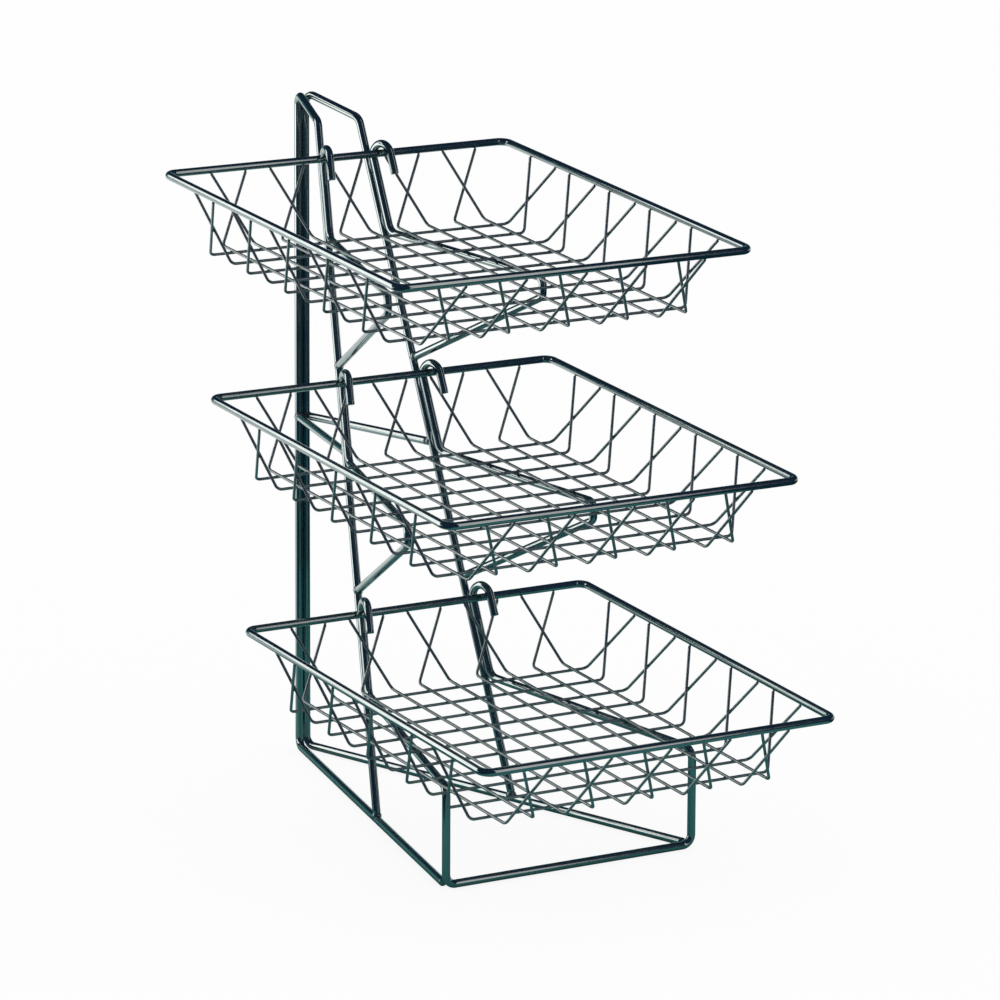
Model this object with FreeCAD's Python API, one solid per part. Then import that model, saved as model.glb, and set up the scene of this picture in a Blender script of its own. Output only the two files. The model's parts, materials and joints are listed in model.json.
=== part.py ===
# A three-tier counter display rack of bent and welded wire, all sizes in millimetres.
#
# Two flat side frames stand side by side at the rear post and open out towards the front like the
# legs of a V seen from above. Each is one bent wire: leg, top arm, rear post and base bar. Brackets
# welded to the legs hold three loose wire baskets: a hook over the basket's rear rail and a braced
# arm under its floor. The lowest pair of brackets is one long wire with the front loop of the base.
#
# Every wire is really round. To keep the facets few, each is drawn as a many-sided bar with the round
# wire's own sectional area, and each bend is a few short chords that touch its arc from outside.
#
# The origin is on the counter, under the middle of the two rear posts. +X is to the right, +Z is
# up, and the front of the rack faces -Y.
import FreeCAD, Part
import math
import os

V = FreeCAD.Vector

# Wire diameters and the gaps between wires
frame_wire = 6.35
rim_wire = 6.0
mesh_wire = 2.3
weld_gap = 0.15
rest_gap = 0.3

# How the round wires and their bends are drawn
thick_wire_sides = 12
mesh_wire_sides = 8
widest_mitre = 25.0

# Rear rails of the three baskets, at the centre of the rail
bottom_rail_height = 158.0
lower_pitch = 171.0
upper_pitch = 166.5
top_slip = -14.0
mid_slip = -4.5
bottom_slip = -5.0

# Side frames, measured in the plane of each frame from its rear post
post_rise = 39.0
top_arm_run = 59.5
top_arm_fall = 14.0
foot_run = 228.5
base_run = 416.0
base_half_width = 109.0
post_top_bend = 8.0
leg_top_bend = 9.0
heel_bend = 8.0
brace_height = 274.0

# Hooks and brackets
bracket_crown_room = 1.5
loop_crown_room = 4.0
rail_setback = 1.7
hook_span = 19.0
hook_drop = 26.0
shank_bend = 9.0
arm_reach = 163.0
nose_length = 14.5
nose_bend = 5.5
strut_bend = 5.0
strut_drop = 96.0

# Front loop
loop_top_bend = 9.0
loop_foot_bend = 8.0

# Baskets
rim_width = 305.0
rim_depth = 350.0
rim_corner = 8.0
side_run = 20.5
end_run = 28.5
floor_drop = 53.0
basket_tilt = 5.1

# Mesh wires: where the outermost ones lie on the floor, and how far each wire leans on the walls
wire_pairs = 5
floor_rear_room = 12.0
floor_front_room = 22.0
floor_left_room = 17.0
floor_right_room = 14.0
side_lean = 37.5
side_counter_lean = 29.0
rear_lean = 35.0
rear_counter_lean = 26.0
front_lean = 21.5
front_counter_lean = 30.0
mesh_bend = 5.5

# Sizes that follow from the ones above
tilt = math.radians(basket_tilt)
frame_side_turn = 2 * math.pi / thick_wire_sides
frame_reach = frame_wire / 2 * math.sqrt(frame_side_turn / math.sin(frame_side_turn))
bar_height = frame_reach
rail_heights = {
    "top": bottom_rail_height + lower_pitch + upper_pitch,
    "mid": bottom_rail_height + lower_pitch,
    "bottom": bottom_rail_height,
}
slips = {"top": top_slip, "mid": mid_slip, "bottom": bottom_slip}
crown_rooms = {"top": bracket_crown_room, "mid": bracket_crown_room, "bottom": loop_crown_room}
post_top = rail_heights["top"] + post_rise
leg_top = post_top - top_arm_fall
post_offset = frame_reach + weld_gap / 2
splay = math.asin((base_half_width - post_offset) / base_run)
leg_slope = (foot_run - top_arm_run) / (leg_top - bar_height)
leg_lean = math.atan(leg_slope)
shank_step = (frame_wire + weld_gap) / math.cos(leg_lean)
hook_radius = hook_span / 2
left, right = -1, 1


def bent_path(corners, radii):
    """Points along a wire that is bent at each inner corner: chords touch the bend from outside."""
    points = [corners[0]]
    for before, corner, after, radius in zip(corners, corners[1:], corners[2:], radii):
        back = (before - corner).normalize()
        ahead = (after - corner).normalize()
        turn = math.pi - back.getAngle(ahead)
        mitres = math.ceil(turn / math.radians(widest_mitre))
        centre = corner + (back + ahead).normalize() * (radius / math.cos(turn / 2))
        first_spoke = corner + back * (radius * math.tan(turn / 2)) - centre
        stretch = 1 / math.cos(turn / mitres / 2)
        for mitre in range(mitres):
            angle = (mitre + 0.5) * turn / mitres
            spoke = first_spoke * math.cos(angle) - back * (radius * math.sin(angle))
            points.append(centre + spoke * stretch)
    return points + [corners[-1]]


def section(place, along, facing, diameter, sides):
    """A many-sided section with the area of the round one; two of its flats face the given way."""
    facing = facing.normalize()
    level = along.cross(facing).normalize()
    step = 2 * math.pi / sides
    reach = diameter / 2 * math.sqrt(step / math.sin(step))
    corners = []
    for number in range(sides + 1):
        angle = (number + 0.5) * step
        corners.append(place + (level * math.cos(angle) + facing * math.sin(angle)) * reach)
    return Part.makePolygon(corners)


def bent_wire(corners, radii, diameter, sides=thick_wire_sides):
    """A wire bent along the corners, as one solid with flat cut ends and mitred bends."""
    along = corners[1] - corners[0]
    facing = along.cross(corners[2] - corners[1]) if radii else V(0, 0, 1)
    path = Part.makePolygon(bent_path(corners, radii))
    outline = section(corners[0], along, facing, diameter, sides)
    square_cornered = 1
    return path.makePipeShell([outline], True, False, square_cornered)


def on_frame(side, run, height):
    """A point in the plane of one side frame: how far from the rear post, and how high."""
    return V(side * (post_offset + run * math.sin(splay)), -run * math.cos(splay), height)


def leg_run(height):
    """Where the leg's centreline is at a height."""
    return top_arm_run + leg_slope * (leg_top - height)


def shank_run(height):
    """Where a bracket's shank, welded along the front of the leg, is at a height."""
    return leg_run(height) + shank_step


def butt_distance(angle):
    """From a wire's cut end to the centreline of the wire that it is welded to, along its own axis."""
    radius = frame_wire / 2
    return (radius + weld_gap + radius * abs(math.cos(angle))) / math.sin(angle)


def hook_centre(tier):
    """The centre of the hook's round crown, as run and height."""
    height = rail_heights[tier] + rim_wire / 2 + crown_rooms[tier] + frame_wire / 2 - hook_radius
    return shank_run(height) + hook_radius / math.cos(leg_lean), height


def rail_place(tier):
    """The centre of the basket's rear rail, a little behind the middle of the crown."""
    run, _ = hook_centre(tier)
    crossing = on_frame(right, run - rail_setback, rail_heights[tier])
    return V(slips[tier], crossing.y, crossing.z)


def in_basket(tier, across, forward, up):
    """A point in a basket: across from its middle, forward from its rear rail, up from its rim."""
    turned = V(
        across,
        -forward * math.cos(tilt) - up * math.sin(tilt),
        -forward * math.sin(tilt) + up * math.cos(tilt),
    )
    return rail_place(tier) + turned


def arm_height(tier, run):
    """The centreline of a bracket's arm, which lies under the basket's lower floor wires."""
    lower_layer = floor_drop + mesh_wire + weld_gap
    below_rim = lower_layer + mesh_wire / 2 + rest_gap + frame_wire / 2
    rail = rail_place(tier)
    forward = rail.y - on_frame(right, run, 0).y
    return rail.z - forward * math.tan(tilt) - below_rim / math.cos(tilt)


def arm_root(tier):
    """Where the line of the shank meets the line of the arm, as run and height."""
    rear, front = 0, base_run
    fall = (arm_height(tier, rear) - arm_height(tier, front)) / (front - rear)
    height = (arm_height(tier, rear) - fall * shank_run(0)) / (1 - fall * leg_slope)
    return shank_run(height), height


def hook_corners(side, tier):
    """The corners of a hook from its free end, over the basket's rail, to the head of the shank."""
    run, height = hook_centre(tier)
    along = V(-math.sin(leg_lean), math.cos(leg_lean), 0)
    square = V(math.cos(leg_lean), math.sin(leg_lean), 0)
    centre = V(run, height, 0)
    crown = centre + along * hook_radius
    free_corner = crown + square * hook_radius
    free_end = free_corner - along * hook_drop
    shank_corner = crown - square * hook_radius
    return [on_frame(side, point.x, point.y) for point in (free_end, free_corner, shank_corner)]


def side_frame(side):
    """Leg, top arm, rear post and base bar, bent from one wire, with the foot welded to the bar."""
    foot_gap = butt_distance(math.pi / 2 - leg_lean)
    foot = on_frame(side, foot_run - foot_gap * math.sin(leg_lean), bar_height + foot_gap * math.cos(leg_lean))
    front_gap = (frame_wire + weld_gap + frame_wire / 2 * math.tan(splay)) / math.cos(splay)
    corners = [
        foot,
        on_frame(side, top_arm_run, leg_top),
        on_frame(side, 0, post_top),
        on_frame(side, 0, bar_height),
        on_frame(side, base_run - front_gap, bar_height),
    ]
    return bent_wire(corners, [leg_top_bend, post_top_bend, heel_bend], frame_wire)


def mid_brace(side):
    """A short level wire between the rear post and the leg."""
    rear = butt_distance(math.pi / 2)
    front = leg_run(brace_height) - butt_distance(math.pi / 2 - leg_lean)
    return bent_wire([on_frame(side, rear, brace_height), on_frame(side, front, brace_height)], [], frame_wire)


def bracket(side, tier):
    """Hook, shank, arm, nose and strut, bent from one wire and welded to the leg."""
    root_run, root_height = arm_root(tier)
    nose_run = root_run + arm_reach
    nose_top = arm_height(tier, nose_run)
    nose_foot = nose_top - nose_length
    foot_height = root_height - strut_drop
    slant = V(nose_run - leg_run(foot_height), nose_foot - foot_height, 0).normalize()
    leg_line = V(-math.sin(leg_lean), math.cos(leg_lean), 0)
    foot_gap = butt_distance(slant.getAngle(leg_line))
    corners = hook_corners(side, tier) + [
        on_frame(side, root_run, root_height),
        on_frame(side, nose_run, nose_top),
        on_frame(side, nose_run, nose_foot),
        on_frame(side, leg_run(foot_height) + slant.x * foot_gap, foot_height + slant.y * foot_gap),
    ]
    return bent_wire(corners, [hook_radius, hook_radius, shank_bend, nose_bend, strut_bend], frame_wire)


def front_loop():
    """The lowest pair of brackets and the front of the base, bent from one long wire."""
    root_run, root_height = arm_root("bottom")
    half = {}
    for side in (left, right):
        half[side] = hook_corners(side, "bottom") + [
            on_frame(side, root_run, root_height),
            on_frame(side, base_run, arm_height("bottom", base_run)),
            on_frame(side, base_run, bar_height),
        ]
    bends = [hook_radius, hook_radius, shank_bend, loop_top_bend, loop_foot_bend]
    return bent_wire(half[left] + half[right][::-1], bends + bends[::-1], frame_wire)


def basket_rim(tier):
    """The basket's rim: a closed rectangle of wire with rounded corners."""
    half = rim_width / 2
    outline = [(0, 0), (half, 0), (half, rim_depth), (-half, rim_depth), (-half, 0), (0, 0)]
    corners = [in_basket(tier, across, forward, 0) for across, forward in outline]
    return bent_wire(corners, [rim_corner] * 4, rim_wire)


def wall_wire(point, half_length, wall_run, leans, step, layer):
    """One mesh wire: up the wall to the rim at both ends, and flat across the floor between them.

    point turns the wire's own distances, along, sideways and up, into a place in the basket.
    """
    rise = floor_drop - layer
    slope = math.hypot(wall_run, rise)
    foot = half_length - wall_run + step
    corners = []
    for end, lean in zip((-1, 1), leans):
        cut_tilt = mesh_wire / 2 * abs(lean) / math.hypot(lean, slope)
        below_rim = rim_wire / 2 + weld_gap + cut_tilt + step * wall_run / slope
        reached = 1 - below_rim / slope
        top = foot + wall_run * reached
        corners += [point(end * top, lean * reached, rise * (reached - 1)), point(end * foot, 0, -rise)]
    corners = corners[:2] + corners[:1:-1]
    return bent_wire(corners, [mesh_bend, mesh_bend], mesh_wire, mesh_wire_sides)


def pass_step(wall_run):
    """Half the distance, along the floor, between the two wires of a pair that cross on a wall."""
    return (mesh_wire + weld_gap) / math.cos(math.atan(wall_run / floor_drop)) / 2


def cross_pair(tier, pair_number):
    """Two wires that run across the basket and cross each other on both side walls."""
    first = end_run + floor_rear_room
    last = rim_depth - end_run - floor_front_room
    pitch = (last - first) / (2 * wire_pairs - 1)
    wires = []
    for number, step, lean in ((0, 1, side_lean), (1, -1, -side_counter_lean)):
        forward = first + (2 * pair_number + number) * pitch
        point = lambda along, sideways, up: in_basket(tier, along, forward + sideways, up)
        layer = -mesh_wire - weld_gap
        wires.append(wall_wire(point, rim_width / 2, side_run, (lean, lean), step * pass_step(side_run), layer))
    return wires


def long_pair(tier, pair_number):
    """Two wires that run from back to front and cross each other on the rear and front walls."""
    first = -rim_width / 2 + side_run + floor_left_room
    last = rim_width / 2 - side_run - floor_right_room
    pitch = (last - first) / (2 * wire_pairs - 1)
    pair_leans = (rear_lean, front_lean), (-rear_counter_lean, -front_counter_lean)
    wires = []
    for number, step, leans in ((0, 1, pair_leans[0]), (1, -1, pair_leans[1])):
        across = first + (2 * pair_number + number) * pitch
        point = lambda along, sideways, up: in_basket(tier, across + sideways, rim_depth / 2 + along, up)
        wires.append(wall_wire(point, rim_depth / 2, end_run, leans, step * pass_step(end_run), 0))
    return wires


def save(name, solids):
    """Writes one sub-part, which may be several separate solids, to its own file."""
    shape = Part.makeCompound(solids) if len(solids) > 1 else solids[0]
    shape.exportStep(os.path.join("parts", name + ".step"))
    print(name, len(solids), "solid, volume", round(shape.Volume, 1))


os.makedirs("parts", exist_ok=True)
for side, word in ((left, "left"), (right, "right")):
    save("side_frame_" + word, [side_frame(side)])
    save("mid_brace_" + word, [mid_brace(side)])
    for tier in ("top", "mid"):
        save(tier + "_bracket_" + word, [bracket(side, tier)])
save("front_loop", [front_loop()])
for tier in rail_heights:
    save(tier + "_basket_rim", [basket_rim(tier)])
    for number in range(wire_pairs):
        save(tier + "_basket_cross_pair_" + str(number + 1), cross_pair(tier, number))
        save(tier + "_basket_long_pair_" + str(number + 1), long_pair(tier, number))
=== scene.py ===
# %% [markdown]
# # A wire display rack, dressed for the photograph
#
# The rack is all wire: a splayed frame of bent and welded quarter-inch wire, and three loose
# baskets of thin wire mesh with a thicker rim. The solids that come with it are many-sided bars with
# mitred bends. What they lack is roundness, the weld beads and the plated finish, and those are made
# here. This first cell loads the solids.

import json
import math

import bpy
import numpy as np
from mathutils import Matrix, Vector


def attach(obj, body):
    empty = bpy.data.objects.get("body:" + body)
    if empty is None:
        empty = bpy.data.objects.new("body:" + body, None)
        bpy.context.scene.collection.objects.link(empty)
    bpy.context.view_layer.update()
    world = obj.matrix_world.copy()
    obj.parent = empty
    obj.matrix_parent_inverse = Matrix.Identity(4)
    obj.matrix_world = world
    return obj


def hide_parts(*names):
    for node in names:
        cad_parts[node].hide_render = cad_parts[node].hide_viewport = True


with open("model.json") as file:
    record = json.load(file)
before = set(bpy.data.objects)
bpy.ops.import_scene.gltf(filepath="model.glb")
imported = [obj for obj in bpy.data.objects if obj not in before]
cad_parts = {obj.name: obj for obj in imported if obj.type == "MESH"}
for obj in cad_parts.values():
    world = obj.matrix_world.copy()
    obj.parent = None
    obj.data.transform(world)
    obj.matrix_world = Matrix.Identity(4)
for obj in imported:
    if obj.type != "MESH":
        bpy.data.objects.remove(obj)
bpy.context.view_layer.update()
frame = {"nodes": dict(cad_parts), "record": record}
nodes = frame["nodes"]
mm = 0.001

# %% [markdown]
# Blender wants colours as linear light, but a colour is easiest to pick and to read as sRGB hex.
# One function turns one into the other. A second adds a node to a material or a world, fills in its
# settings and joins its inputs, so that each finish below reads as a short list.

# %% Colours and nodes
full_byte = 255
low_limit, low_divisor = 0.04045, 12.92
high_offset, high_power = 0.055, 2.4


def linear(hex_code):
    """Linear light of an sRGB hex: low shares are divided, others are offset and raised to a power."""
    shares = np.array([int(hex_code[start : start + 2], 16) for start in (1, 3, 5)]) / full_byte
    low = shares / low_divisor
    high = ((shares + high_offset) / (1 + high_offset)) ** high_power
    return (*np.where(shares <= low_limit, low, high), 1.0)


def add(tree, kind, settings=None, **inputs):
    """Adds a node: settings are its own fields; an input is given a value or another node's output.

    An input is named by its label with underscores for spaces, or by an underscore and its number.
    """
    node = tree.nodes.new(kind)
    for field, value in (settings or {}).items():
        setattr(node, field, value)
    for name, value in inputs.items():
        number = name[1:]
        socket = node.inputs[int(number) if number.isdigit() else name.replace("_", " ")]
        if isinstance(value, bpy.types.NodeSocket):
            tree.links.new(value, socket)
        else:
            socket.default_value = value
    return node


print("mid grey", np.round(linear("#808080")[:3], 3))

# %% [markdown]
# The photograph was taken with a long lens from the left front, a little above the rack. The camera
# stands where the rack's own corners fall on the photograph's: its direction is an angle round the
# rack and an angle up, and the lens follows from the width of the picture in pixels. The camera was
# held a fraction of a degree off level, which the photograph's uprights show.

# %% Camera
azimuth = math.radians(-31.73)
elevation = math.radians(12.82)
roll = math.radians(0.29)
target = Vector((18.34, -270.0, 256.2)) * mm
distance = 4806.9 * mm
focal_pixels = 6305.8
image_pixels = 1000
sensor_width = 36.0

level_back = Vector((math.sin(azimuth), -math.cos(azimuth), 0.0)) * math.cos(elevation)
back = level_back + Vector((0.0, 0.0, math.sin(elevation)))
level = back.to_track_quat("Z", "Y").to_matrix().to_4x4()
held = level @ Matrix.Rotation(roll, 4, "Z")

camera_data = bpy.data.cameras.new("camera")
camera_data.sensor_width = sensor_width
camera_data.lens = focal_pixels / image_pixels * sensor_width
camera = bpy.data.objects.new("camera", camera_data)
camera.matrix_world = Matrix.Translation(target + back * distance) @ held
bpy.context.scene.collection.objects.link(camera)
bpy.context.scene.camera = camera
bpy.context.scene.view_settings.view_transform = "Standard"
print("lens", round(camera_data.lens, 1), "mm")

# %% [markdown]
# Bright plating has no colour of its own to speak of: it shows the room. In the photograph the wires
# that run across are almost black along the middle, where they mirror the unlit studio. So the world
# gets a room for mirrored rays to find. It is dark blue, turns teal low down at the rear, and has the
# white sweep behind the rack as the picture shows it. Each part of it is bounded to one side and at
# the top by a soft step in the direction of the ray: the first number of a pair is where the part
# begins, the second where it is at its full colour.

# %% Mirrored room
sweep_side = (0.87, 0.50, 0.0)
sweep_start, sweep_full = 0.5, 0.8
sweep_top, sweep_solid = 0.18, 0.06
wall_start, wall_full = 0.1, 0.5
wall_top, wall_solid = 0.34, 0.14
unlit_blue, wall_teal, white = linear("#1E3147"), linear("#4F8A84"), linear("#FFFFFF")

smooth = {"interpolation_type": "SMOOTHSTEP"}
two_colours = {"data_type": "RGBA"}
product = {"operation": "MULTIPLY"}
mixed_colour = 2

world = bpy.data.worlds.new("white studio")
bpy.context.scene.world = world
world.use_nodes = True
tree = world.node_tree
tree.nodes.clear()
direction = add(tree, "ShaderNodeTexCoord").outputs["Generated"]
parts = add(tree, "ShaderNodeSeparateXYZ", Vector=direction).outputs
toward = add(tree, "ShaderNodeVectorMath", {"operation": "DOT_PRODUCT"}, _0=direction, _1=sweep_side)
bounds = {
    "side of the sweep": (toward.outputs["Value"], sweep_start, sweep_full),
    "top of the sweep": (parts["Z"], sweep_top, sweep_solid),
    "side of the wall": (parts["Y"], wall_start, wall_full),
    "top of the wall": (parts["Z"], wall_top, wall_solid),
}
steps = {
    name: add(tree, "ShaderNodeMapRange", smooth, Value=value, From_Min=start, From_Max=full)
    for name, (value, start, full) in bounds.items()
}
step = {name: node.outputs["Result"] for name, node in steps.items()}
sweep = add(tree, "ShaderNodeMath", product, _0=step["side of the sweep"], _1=step["top of the sweep"])
wall = add(tree, "ShaderNodeMath", product, _0=step["side of the wall"], _1=step["top of the wall"])
room = add(tree, "ShaderNodeMix", two_colours, _0=wall.outputs["Value"], _6=unlit_blue, _7=wall_teal)
dark_room = room.outputs[mixed_colour]
mirrored = add(tree, "ShaderNodeMix", two_colours, _0=sweep.outputs["Value"], _6=dark_room, _7=white)
print("mirrored room", len(tree.nodes), "nodes")

# %% [markdown]
# The world has two faces, told apart by the kind of ray. Only mirrored rays find the room. The camera
# and all diffuse light find plain white of strength 1, at which a colour renders about as written.

# %% World
glossy_ray = add(tree, "ShaderNodeLightPath").outputs["Is Glossy Ray"]
found_room = mirrored.outputs[mixed_colour]
seen = add(tree, "ShaderNodeMix", two_colours, _0=glossy_ray, _6=white, _7=found_room)
sky = add(tree, "ShaderNodeBackground", Color=seen.outputs[mixed_colour], Strength=1.0)
add(tree, "ShaderNodeOutputWorld", Surface=sky.outputs["Background"])
print("world", len(tree.nodes), "nodes")

# %% [markdown]
# The rack stands on a plain pale floor, a single square that reaches far past the picture.

# %% Floor sheet
floor_half = 6000 * mm

corners = [(x * floor_half, y * floor_half, 0) for x, y in ((-1, -1), (1, -1), (1, 1), (-1, 1))]
floor_mesh = bpy.data.meshes.new("floor")
floor_mesh.from_pydata(corners, [], [(0, 1, 2, 3)])
floor = bpy.data.objects.new("floor", floor_mesh)
bpy.context.scene.collection.objects.link(floor)
print("floor", 2 * floor_half, "m wide")

# %% [markdown]
# The uprights mirror the floor on the viewer's side. There the floor has a painted reflection that only
# mirrored rays see: teal for a strip not quite twice as wide as the rack, and beyond it painted shade,
# almost black, for the unlit studio. That is why the rear posts are teal low down and dark above. The
# struts mirror the floor just behind the rack, where the painted teal gives way to white. This cell
# works out those colours, again with a soft step at each edge.

# %% Mirrored floor: painted reflection
paper_edge, paper_fade = 500 * mm, -90 * mm
strip_edge, strip_fade = 275 * mm, 325 * mm
dark_edge, dark_fade = -900 * mm, -1500 * mm
# Painted reflection colours: teal for the strip, and painted shade, almost black, for the unlit studio
# beyond.
painted_teal_reflection, unlit_floor = linear("#4F8A89"), linear("#183747")

floor_paper = bpy.data.materials.new("matt white studio paper with painted reflections")
floor_paper.use_nodes = True
tree = floor_paper.node_tree
tree.nodes.clear()
place = add(tree, "ShaderNodeTexCoord").outputs["Object"]
parts = add(tree, "ShaderNodeSeparateXYZ", Vector=place).outputs
side = add(tree, "ShaderNodeMath", {"operation": "ABSOLUTE"}, _0=parts["X"]).outputs["Value"]
bounds = {
    "in front": (parts["Y"], paper_edge, paper_fade),
    "far in front": (parts["Y"], dark_edge, dark_fade),
    "beside the strip": (side, strip_edge, strip_fade),
}
steps = {
    name: add(tree, "ShaderNodeMapRange", smooth, Value=value, From_Min=edge, From_Max=fade)
    for name, (value, edge, fade) in bounds.items()
}
step = {name: node.outputs["Result"] for name, node in steps.items()}
larger = {"operation": "MAXIMUM"}
dark = add(tree, "ShaderNodeMath", larger, _0=step["far in front"], _1=step["beside the strip"])
front = add(tree, "ShaderNodeMix", two_colours, _0=dark.outputs["Value"], _6=painted_teal_reflection, _7=unlit_floor)
print("mirrored floor", len(tree.nodes), "nodes")

# %% [markdown]
# Seen by the camera the paper is almost the white of the sweep, so that the horizon doesn't show, and
# it still takes the rack's shadow. So most of it glows at strength 1 and the rest is matt paper. A
# mirrored ray finds the same white behind the rack, and in front of it the painted reflection worked
# out above. Diffuse light finds matt paper only.

# %% Floor paper
white_share = 0.88
pale_paper = linear("#F4F4F4")

total = {"operation": "ADD"}
difference = {"operation": "SUBTRACT"}

path = add(tree, "ShaderNodeLightPath").outputs
camera_ray, glossy_ray = path["Is Camera Ray"], path["Is Glossy Ray"]
front_ray = add(tree, "ShaderNodeMath", product, _0=glossy_ray, _1=step["in front"]).outputs["Value"]
either_ray = add(tree, "ShaderNodeMath", total, _0=camera_ray, _1=glossy_ray).outputs["Value"]
white_ray = add(tree, "ShaderNodeMath", difference, _0=either_ray, _1=front_ray).outputs["Value"]
glow_share = add(tree, "ShaderNodeMath", product, _0=white_ray, _1=white_share).outputs["Value"]
painted_reflection_colour = front.outputs[mixed_colour]
# Painted reflection: only mirrored rays in front of the rack find the teal and dark colours; the camera
# never does.
colour = add(tree, "ShaderNodeMix", two_colours, _0=front_ray, _6=pale_paper, _7=painted_reflection_colour)
paper = add(tree, "ShaderNodeBsdfDiffuse", Color=colour.outputs[mixed_colour]).outputs["BSDF"]
glow = add(tree, "ShaderNodeEmission", Color=white, Strength=1.0).outputs["Emission"]
surface = add(tree, "ShaderNodeMixShader", _0=glow_share, _1=paper, _2=glow).outputs["Shader"]
add(tree, "ShaderNodeOutputMaterial", Surface=surface)
floor_mesh.materials.append(floor_paper)
print("floor paper", len(tree.nodes), "nodes")

# %% [markdown]
# Two lamps show in the plating. The left rails and the pale floor wires mirror a bright panel close
# by at the left rear, while the right rails look past its edge and only catch it towards their front
# ends. The front rails mirror a place to the right of the camera: their left halves show a tall
# screen there, their right halves the dark beside it. Both lamps lean over, because the upper side of
# a rail mirrors a place farther round. They are only seen in the plating: the white world gives the
# plain light.

# %% Soft lamps
lamp_white = linear("#FFF0EC")[:3]


def soft_panel(name, size, place, aim, lean, radiance):
    """A rectangular lamp that faces a point; its power is its radiance times pi times its area."""
    width, height = size
    lamp = bpy.data.lights.new(name, "AREA")
    lamp.shape = "RECTANGLE"
    lamp.size = width
    lamp.size_y = height
    lamp.energy = radiance * math.pi * width * height
    lamp.color = lamp_white
    stand = bpy.data.objects.new(name, lamp)
    facing = (place - aim).to_track_quat("Z", "Y").to_matrix().to_4x4()
    stand.matrix_world = Matrix.Translation(place) @ facing @ Matrix.Rotation(lean, 4, "Z")
    stand.visible_camera = False
    stand.visible_diffuse = False
    bpy.context.scene.collection.objects.link(stand)
    print(name, round(lamp.energy, 2), "W")


panel_size = (640 * mm, 1300 * mm)
panel_distance = 1200 * mm
panel_shift = 210 * mm
panel_lean = math.radians(24)
panel_radiance = 2.5
left_rails = Vector((-170, -280, 380)) * mm
panel_side = Vector((-0.555, 0.807, 0.20)).normalized()
panel_level = Vector((0.824, 0.567, 0.0)).normalized()
panel_place = left_rails + panel_side * panel_distance - panel_level * panel_shift
panel_aim = panel_place - panel_side
soft_panel("left rear panel", panel_size, panel_place, panel_aim, panel_lean, panel_radiance)

screen_size = (350 * mm, 3000 * mm)
screen_place = Vector((920, -1900, 1300)) * mm
screen_aim = Vector((0, -400, 1000)) * mm
screen_lean = math.radians(-10)
screen_radiance = 1.0
soft_panel("front right screen", screen_size, screen_place, screen_aim, screen_lean, screen_radiance)

# %% [markdown]
# The wire is mild steel, drawn smooth, bent, welded and then plated with bright nickel and chromium.
# Plating follows the steel under it, so the mirror is not quite even: its tone and its gloss change a
# little from place to place, and the surface swells and dips over some millimetres. One function
# makes such a finish from three noises, one for each.

# %% A plated finish
tone_patch, tone_detail = 28 * mm, 3.0
haze_patch, haze_detail = 6 * mm, 4.0
wave_detail = 2.0
sharp_share, dull_share = 0.6, 1.5


def plated_wire(name, light_hex, dark_hex, wave_length, wave_height, roughness):
    """Metal in a mix of two tones; its roughness is the given one times a share between two limits."""
    finish = bpy.data.materials.new(name)
    finish.use_nodes = True
    tree = finish.node_tree
    tree.nodes.clear()
    place = add(tree, "ShaderNodeTexCoord").outputs["Object"]
    patches = add(tree, "ShaderNodeTexNoise", Vector=place, Scale=1 / tone_patch, Detail=tone_detail)
    haze = add(tree, "ShaderNodeTexNoise", Vector=place, Scale=1 / haze_patch, Detail=haze_detail)
    waves = add(tree, "ShaderNodeTexNoise", Vector=place, Scale=1 / wave_length, Detail=wave_detail)
    dark, light = linear(dark_hex), linear(light_hex)
    tone = add(tree, "ShaderNodeMix", two_colours, _0=patches.outputs[0], _6=dark, _7=light)
    sharp, dull = roughness * sharp_share, roughness * dull_share
    gloss = add(tree, "ShaderNodeMapRange", Value=haze.outputs[0], To_Min=sharp, To_Max=dull)
    relief = add(tree, "ShaderNodeBump", Height=waves.outputs[0], Distance=wave_height, Strength=1.0)
    metal = add(
        tree,
        "ShaderNodeBsdfPrincipled",
        Base_Color=tone.outputs[mixed_colour],
        Metallic=1.0,
        Roughness=gloss.outputs["Result"],
        Normal=relief.outputs["Normal"],
    )
    add(tree, "ShaderNodeOutputMaterial", Surface=metal.outputs["BSDF"])
    return finish


print("tone patches", tone_patch, "m, haze patches", haze_patch, "m")

# %% [markdown]
# Chromium is a cool metal with a slight blue-green cast, deeper on thick wire. Each wire thickness
# gets its own finish, so that the length of its waves fits its size. Thin mesh wire is buffed less and
# mirrors softly. A weld bead is rough under its plating and is the dullest.

# %% The rack's finishes
finishes = {
    "frame_wire": plated_wire(
        "bright chromium plate on thick wire", "#A7B4B4", "#8A9A9A", 9 * mm, 0.02 * mm, 0.10
    ),
    "basket_rim_wire": plated_wire(
        "bright chromium plate on rim wire", "#A7B4B4", "#8A9A9A", 9 * mm, 0.02 * mm, 0.10
    ),
    "basket_mesh_wire": plated_wire(
        "bright chromium plate on thin wire", "#A4AEAF", "#8A9698", 5 * mm, 0.01 * mm, 0.34
    ),
    "welds": plated_wire(
        "dull chromium plate on weld beads", "#98A4A6", "#74838A", 1.2 * mm, 0.06 * mm, 0.30
    ),
}
print(sorted(finishes))

# %% [markdown]
# Where each wire runs is read from its solid, so that wire and solid can't drift apart. The solids
# come as loose triangles, so first the corners that lie on one place are made one, and a table notes
# which corners share an edge.

# %% Corners of a solid
merge_digits = 7


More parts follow.
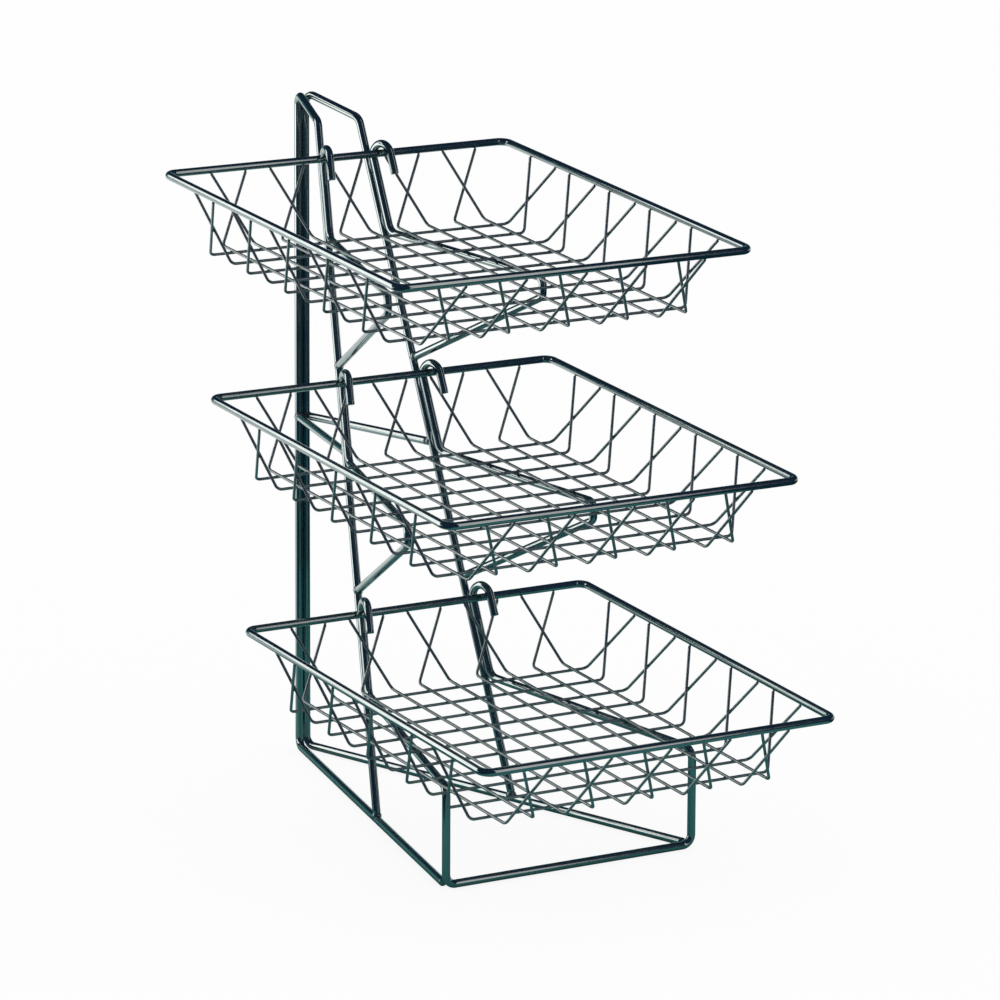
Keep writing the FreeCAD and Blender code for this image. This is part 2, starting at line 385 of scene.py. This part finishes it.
def joined_corners(node):
    """The solid's corners, each place once, and a table that is true where two of them share an edge."""
    mesh = node.data
    flat_places = np.empty(len(mesh.vertices) * 3)
    mesh.vertices.foreach_get("co", flat_places)
    corners = np.empty(len(mesh.loops), int)
    mesh.loops.foreach_get("vertex_index", corners)
    rounded = np.round(flat_places.reshape(-1, 3), merge_digits)
    places, shared = np.unique(rounded, axis=0, return_inverse=True)
    triangles = shared.reshape(-1)[corners].reshape(-1, 3)
    touching = np.zeros((len(places), len(places)), bool)
    for first, second in ((0, 1), (1, 2), (2, 0)):
        touching[triangles[:, first], triangles[:, second]] = True
        touching[triangles[:, second], triangles[:, first]] = True
    return places, touching


print("brace", len(joined_corners(nodes["mid_brace_left"])[0]), "corners")

# %% [markdown]
# A solid is a row of many-sided rings, one at each mitre and one at each cut end, and the middle of a
# ring is a point of the wire's centreline. A ring that has no other ring near it is a cut end, or the
# joint of a closed rim. From there the walk goes from ring to ring across the triangles.

# %% Centrelines of the solids
diameters = {"frame_wire": 6.35 * mm, "basket_rim_wire": 6.0 * mm, "basket_mesh_wire": 2.3 * mm}
ring_reach_share = 1.2
lonely_reach_share = 1.8


def centrelines(node, diameter):
    """The middles of the rings, in order, for each wire of a node; a closed wire ends where it began."""
    places, touching = joined_corners(node)
    apart = np.linalg.norm(places[:, None] - places[None], axis=2)
    same_ring = apart < ring_reach_share * diameter
    crowd = (apart < lonely_reach_share * diameter).sum(1)
    alone = crowd == crowd.min()
    unused = np.ones(len(places), bool)
    lines = []
    while unused.any():
        start = same_ring[np.flatnonzero(unused & alone)[0]]
        unused &= ~start
        line = [places[start].mean(0)]
        ring = touching[start].any(0) & unused
        ring &= same_ring[np.flatnonzero(ring)[0]]
        while ring.any():
            last = ring
            line.append(places[ring].mean(0))
            unused &= ~ring
            ring = touching[ring].any(0) & unused
        if len(line) > 2 and touching[last][:, start].any():
            line.append(line[0])
        lines.append(np.array(line))
    return lines


slots = {part["node"]: part["material_slot"] for part in frame["record"]["subparts"]}
lines = {name: centrelines(node, diameters[slots[name]]) for name, node in nodes.items()}
wires = [line for found in lines.values() for line in found]
metres = sum(np.linalg.norm(np.diff(line, axis=0), axis=1).sum() for line in wires)
print(len(wires), "wires,", round(metres, 2), "m in all")

# %% [markdown]
# A bent wire is round all the way, and its bends are arcs. Each corner of a centreline is one chord of
# a bend, and the chords touch the bend from outside at their middles. So an arc that starts half a
# chord before each corner and ends half a chord after it gives the bend back exactly, and a long
# straight run stays straight.

# %% Round bends
steps_per_corner = 4
shortest_step = 0.001 * mm


def with_round_bends(line):
    """Each corner becomes an arc: centre plus radius times (spoke times cosine plus run times sine)."""
    runs = np.diff(line, axis=0)
    lengths = np.linalg.norm(runs, axis=1)
    runs = runs / lengths[:, None]
    before, after = runs[:-1], runs[1:]
    trim = np.minimum(lengths[:-1], lengths[1:]) / 2
    half_turn = np.arccos(np.clip((before * after).sum(1), -1, 1)) / 2
    radius = trim / np.tan(half_turn)
    inward = after - before
    inward /= np.linalg.norm(inward, axis=1)[:, None]
    centre = line[1:-1] + inward * (radius / np.cos(half_turn))[:, None]
    spoke = (line[1:-1] - before * trim[:, None] - centre) / radius[:, None]
    angle = (half_turn[:, None] * np.linspace(0, 2, steps_per_corner + 1))[..., None]
    arcs = spoke[:, None] * np.cos(angle) + before[:, None] * np.sin(angle)
    arcs = centre[:, None] + arcs * radius[:, None, None]
    round_line = np.vstack([line[:1], arcs.reshape(-1, 3), line[-1:]])
    moved = np.linalg.norm(np.diff(round_line, axis=0), axis=1) > shortest_step
    return round_line[np.append(True, moved)]


bent_lines = {name: [with_round_bends(line) for line in found] for name, found in lines.items()}
print("stations", sum(len(line) for found in bent_lines.values() for line in found))

# %% [markdown]
# Smooth shading blends the normals of the faces that meet at a ring. On polished wire that would tilt
# the mirror image along a whole straight run, so each run gets a ring close to both its ends, and
# only the short faces beyond it take part in the blend.

# %% Held ends of straight runs
hold_share = 0.5
held_run_share = 2.0


def with_held_ends(line, diameter):
    """Adds a point near both ends of each straight run that is longer than a few diameters."""
    runs = np.diff(line, axis=0)
    lengths = np.linalg.norm(runs, axis=1)
    held = np.flatnonzero(lengths > held_run_share * diameter)
    steps = runs[held] * (hold_share * diameter / lengths[held])[:, None]
    near_both = np.stack([line[held] + steps, line[held + 1] - steps], axis=1).reshape(-1, 3)
    return np.insert(line, np.repeat(held + 1, 2), near_both, axis=0)


round_lines = {
    name: [with_held_ends(line, diameters[slots[name]]) for line in found]
    for name, found in bent_lines.items()
}
print("stations", sum(len(line) for found in round_lines.values() for line in found))

# %% [markdown]
# A tube is a circle carried along its centreline, so every station needs a frame: the way the wire
# runs and two directions square to it. "Up" is carried over from station to station and only made
# square to the wire again, so that the tube never twists.

# %% Frames along a wire
straight_limit = 1e-6


def square_frames(line):
    """Unit runs and two unit vectors square to them at each station; up is carried without twist."""
    runs = np.diff(line, axis=0)
    runs /= np.linalg.norm(runs, axis=1)[:, None]
    closed = np.allclose(line[0], line[-1])
    ends = (runs[-1:], runs[:1]) if closed else (runs[:1], runs[-1:])
    along = np.vstack([ends[0], runs]) + np.vstack([runs, ends[1]])
    along /= np.linalg.norm(along, axis=1)[:, None]
    turns = np.cross(runs[:-1], runs[1:])
    strongest = turns[np.argmax(np.linalg.norm(turns, axis=1))] if len(turns) else np.zeros(3)
    up = strongest if np.linalg.norm(strongest) > straight_limit else np.array([0.0, 0.0, 1.0])
    ups = []
    for direction in along:
        up = up - direction * (up @ direction)
        up = up / np.linalg.norm(up)
        ups.append(up)
    ups = np.array(ups)
    return along, ups, np.cross(along, ups)


brace = round_lines["mid_brace_left"][0]
print("brace", len(square_frames(brace)[0]), "stations")

# %% [markdown]
# The tube's points are those circles, and its faces join each circle to the next. A closed rim joins
# its last circle to its first. A cut end is flat with a small worn edge: the circle grows over a
# quarter turn before it reaches the full radius. Thick wire gets more sides than thin, because its
# roundness shows.

# %% Tubes
sides_by_slot = {"frame_wire": 28, "basket_rim_wire": 28, "basket_mesh_wire": 14}
edge_share = 0.12
edge_angles = np.radians([0, 45, 90])


def with_worn_ends(line, radii, along, diameter):
    """Stations and radii with small rings at both ends: radius less edge plus edge times sine."""
    edge = edge_share * diameter
    inset = edge * (1 - np.cos(edge_angles))
    grown = radii[0] - edge + edge * np.sin(edge_angles)
    first = line[0] + along[0] * inset[:, None]
    last = line[-1] - along[-1] * inset[::-1, None]
    return np.vstack([first, line[1:-1], last]), np.concatenate([grown, radii[1:-1], grown[::-1]])


def round_wire(line, diameter, sides):
    """Points of a tube and its faces: station plus radius times (up by cosine plus side by sine)."""
    along, ups, across = square_frames(line)
    radii = np.full(len(line), diameter / 2)
    closed = np.allclose(line[0], line[-1])
    if closed:
        line, ups, across, radii = line[:-1], ups[:-1], across[:-1], radii[:-1]
    else:
        repeats = np.ones(len(line), int)
        repeats[[0, -1]] = len(edge_angles)
        line, radii = with_worn_ends(line, radii, along, diameter)
        ups, across = np.repeat(ups, repeats, axis=0), np.repeat(across, repeats, axis=0)
    angle = (np.arange(sides) * 2 * math.pi / sides)[:, None]
    circles = ups[:, None] * np.cos(angle) + across[:, None] * np.sin(angle)
    points = line[:, None] + radii[:, None, None] * circles
    grid = np.arange(len(line) * sides).reshape(len(line), sides)
    ring, next_ring = (grid, np.roll(grid, -1, axis=0)) if closed else (grid[:-1], grid[1:])
    beside, next_beside = np.roll(ring, -1, axis=1), np.roll(next_ring, -1, axis=1)
    faces = np.stack([ring, next_ring, next_beside, beside], axis=-1).reshape(-1, 4).tolist()
    if not closed:
        faces += [grid[0].tolist(), grid[-1][::-1].tolist()]
    return points.reshape(-1, 3), faces


print("brace", len(round_wire(brace, diameters["frame_wire"], sides_by_slot["frame_wire"])[1]), "faces")

# %% [markdown]
# Each node's wires become one object that rides on the node's body and takes the node's place. The
# mesh wires come in pairs, because the two wires of a pair cross each other on the basket's walls.

# %% Round wires
nodes_by_body = frame["record"]["behaviour"]["bodies"]
body_of_node = {name: body for body, members in nodes_by_body.items() for name in members}


def piece(name, shells, finish, body):
    """One object from several closed shells, each a list of points and faces; it rides on a body."""
    points, faces, start = [], [], 0
    for shell_points, shell_faces in shells:
        points.append(shell_points)
        faces += [[corner + start for corner in face] for face in shell_faces]
        start += len(shell_points)
    mesh = bpy.data.meshes.new(name)
    mesh.from_pydata(np.vstack(points), [], faces)
    mesh.polygons.foreach_set("use_smooth", np.ones(len(faces), bool))
    mesh.materials.append(finish)
    new = bpy.data.objects.new(name, mesh)
    bpy.context.scene.collection.objects.link(new)
    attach(new, body)
    return new


face_count = 0
for name, found in round_lines.items():
    slot = slots[name]
    shells = [round_wire(line, diameters[slot], sides_by_slot[slot]) for line in found]
    wire = piece("round_" + name, shells, finishes[slot], body_of_node[name])
    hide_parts(name)
    face_count += len(wire.data.polygons)
print("round wires have", face_count, "faces")

# %% [markdown]
# Every place where two wires touch is a weld. Mesh wires are pressed together hot, which leaves a
# small swelling at each crossing. Thick wires are joined with filler, which leaves a collar round a
# butted end and short seams where two wires lie side by side. The places are found from the
# centrelines. Only their straight stretches are compared, so that a bend doesn't count as a touch.

# %% Straight stretches
straight_share = 3.0


def straight_stretches(names):
    """Starts, ends, radii, wire numbers and closed marks of the runs longer than a few diameters."""
    starts, ends, radii, numbers, closed = [], [], [], [], []
    for name in names:
        diameter = diameters[slots[name]]
        for line in lines[name]:
            long_runs = np.linalg.norm(np.diff(line, axis=0), axis=1) > straight_share * diameter
            starts.append(line[:-1][long_runs])
            ends.append(line[1:][long_runs])
            radii.append(np.full(long_runs.sum(), diameter / 2))
            numbers.append(np.full(long_runs.sum(), len(numbers)))
            closed.append(np.full(long_runs.sum(), np.allclose(line[0], line[-1])))
    return [np.concatenate(kind) for kind in (starts, ends, radii, numbers, closed)]


print({body: len(straight_stretches(members)[0]) for body, members in nodes_by_body.items()}, "stretches")

# %% [markdown]
# Two stretches whose surfaces come nearer than a hair are welded where they are nearest. Wires that
# run side by side get a seam near both ends of the stretch that they share. An open wire can also
# touch itself, as a leg's foot does, but not across one bend.

# %% Where the wires touch
weld_reach = 0.6 * mm
seam_half_length = 6.0 * mm
parallel_limit = 0.02


def touches(names):
    """Points on two centrelines where wires touch, with both radii, the first run and a half length.

    The nearest points of two lines solve a pair of linear equations in their shares along the lines,
    which are then held between 0 and 1.
    """
    start, end, radius, number, closed = straight_stretches(names)
    first, second = np.triu_indices(len(start), 1)
    meets_itself = (second > first + 1) & ~closed[first]
    can_touch = (number[first] != number[second]) | meets_itself
    first, second = first[can_touch], second[can_touch]
    run_1, run_2 = end[first] - start[first], end[second] - start[second]
    radius_1, radius_2 = radius[first], radius[second]
    offset = start[first] - start[second]
    square_1, square_2, mixed = (run_1**2).sum(1), (run_2**2).sum(1), (run_1 * run_2).sum(1)
    toward_1, toward_2 = (run_1 * offset).sum(1), (run_2 * offset).sum(1)
    spread = square_1 * square_2 - mixed**2
    parallel = spread < parallel_limit**2 * square_1 * square_2
    crossing = (mixed * toward_2 - toward_1 * square_2) / np.where(parallel, 1, spread)
    margin = seam_half_length / np.sqrt(square_1)
    low = np.minimum(-toward_1, mixed - toward_1) / square_1
    high = np.maximum(-toward_1, mixed - toward_1) / square_1
    seam_start, seam_end = np.maximum(low, 0) + margin, np.minimum(high, 1) - margin
    half_length = np.where(parallel, seam_half_length, 0)
    found = []
    for chosen, share in ((~parallel, crossing), (parallel, seam_start), (parallel, seam_end)):
        share_1 = np.clip(share, 0, 1)
        share_2 = np.clip((mixed * share_1 + toward_2) / square_2, 0, 1)
        nearest = np.clip((mixed * share_2 - toward_1) / square_1, 0, 1)
        place_1 = start[first] + run_1 * np.where(parallel, share_1, nearest)[:, None]
        place_2 = start[second] + run_2 * share_2[:, None]
        gap = np.linalg.norm(place_2 - place_1, axis=1) - radius_1 - radius_2
        keep = chosen & (gap < weld_reach)
        pairs = (place_1, place_2, radius_1, radius_2, run_1, half_length)
        found.append([values[keep] for values in pairs])
    return [np.concatenate(kind) for kind in zip(*found)]


weld_places = {body: touches(members) for body, members in nodes_by_body.items()}
print({body: len(found[0]) for body, found in weld_places.items()}, "welds")

# %% [markdown]
# A weld bead is small and there are hundreds of them, so each is a ball of a few dozen faces: rings
# between two poles.

# %% A small ball
bead_rows = 5
bead_columns = 8


def unit_ball(rows, columns):
    """Points by polar and round angle: sine times cosine, sine times sine, cosine; poles closed."""
    polar = np.linspace(0, math.pi, rows + 1)[1:-1, None]
    round_angle = np.arange(columns) * 2 * math.pi / columns
    x, y = np.sin(polar) * np.cos(round_angle), np.sin(polar) * np.sin(round_angle)
    rings = np.stack(np.broadcast_arrays(x, y, np.cos(polar)), axis=-1)
    points = np.vstack([rings.reshape(-1, 3), [[0, 0, 1], [0, 0, -1]]])
    top_pole = (rows - 1) * columns
    grid = np.arange(top_pole).reshape(rows - 1, columns)
    beside = np.roll(grid, -1, axis=1)
    quads = np.stack([grid[:-1], grid[1:], beside[1:], beside[:-1]], axis=-1).reshape(-1, 4).tolist()
    top = [[top_pole, a, b] for a, b in zip(grid[0].tolist(), beside[0].tolist())]
    bottom = [[top_pole + 1, b, a] for a, b in zip(grid[-1].tolist(), beside[-1].tolist())]
    return points, quads + top + bottom


print("a bead has", len(unit_ball(bead_rows, bead_columns)[1]), "faces")

# %% [markdown]
# Each ball is squashed between its two wires. Where one wire ends on another, their centrelines come
# much closer than two radii, and the ball is fuller than the wire, so that it stands out round the
# end as a collar. All beads of a body are one piece.

# %% Weld beads
bead_spread_share = 1.0
bead_height_share = 0.75
collar_share = 1.32
butted_share = -0.5


def beads(place_1, place_2, radius_1, radius_2, run, half_length):
    """Balls between touching wires: long along the run, flat along the line between the wires."""
    points, faces = unit_ball(bead_rows, bead_columns)
    between = place_2 - place_1
    between /= np.linalg.norm(between, axis=1)[:, None]
    along = run - between * (run * between).sum(1)[:, None]
    along /= np.linalg.norm(along, axis=1)[:, None]
    axes = np.stack([along, np.cross(between, along), between], axis=1)
    thin = np.minimum(radius_1, radius_2)
    gap = np.linalg.norm(place_2 - place_1, axis=1) - radius_1 - radius_2
    butted = gap < butted_share * thin
    spread = thin * np.where(butted, collar_share, bead_spread_share)
    height = thin * np.where(butted, collar_share, bead_height_share)
    sizes = np.stack([spread + half_length, spread, height], axis=1)
    middle = place_1 + between * (radius_1 + gap / 2)[:, None]
    everywhere = middle[:, None] + np.einsum("pk,wk,wkx->wpx", points, sizes, axes)
    return [(ball, faces) for ball in everywhere]


for body, found in weld_places.items():
    slot = "frame_wire" if body == "frame" else "basket_mesh_wire"
    made = piece("welds_" + body, beads(*found), finishes["welds"], body)
    print(made.name, len(made.data.polygons), "faces")
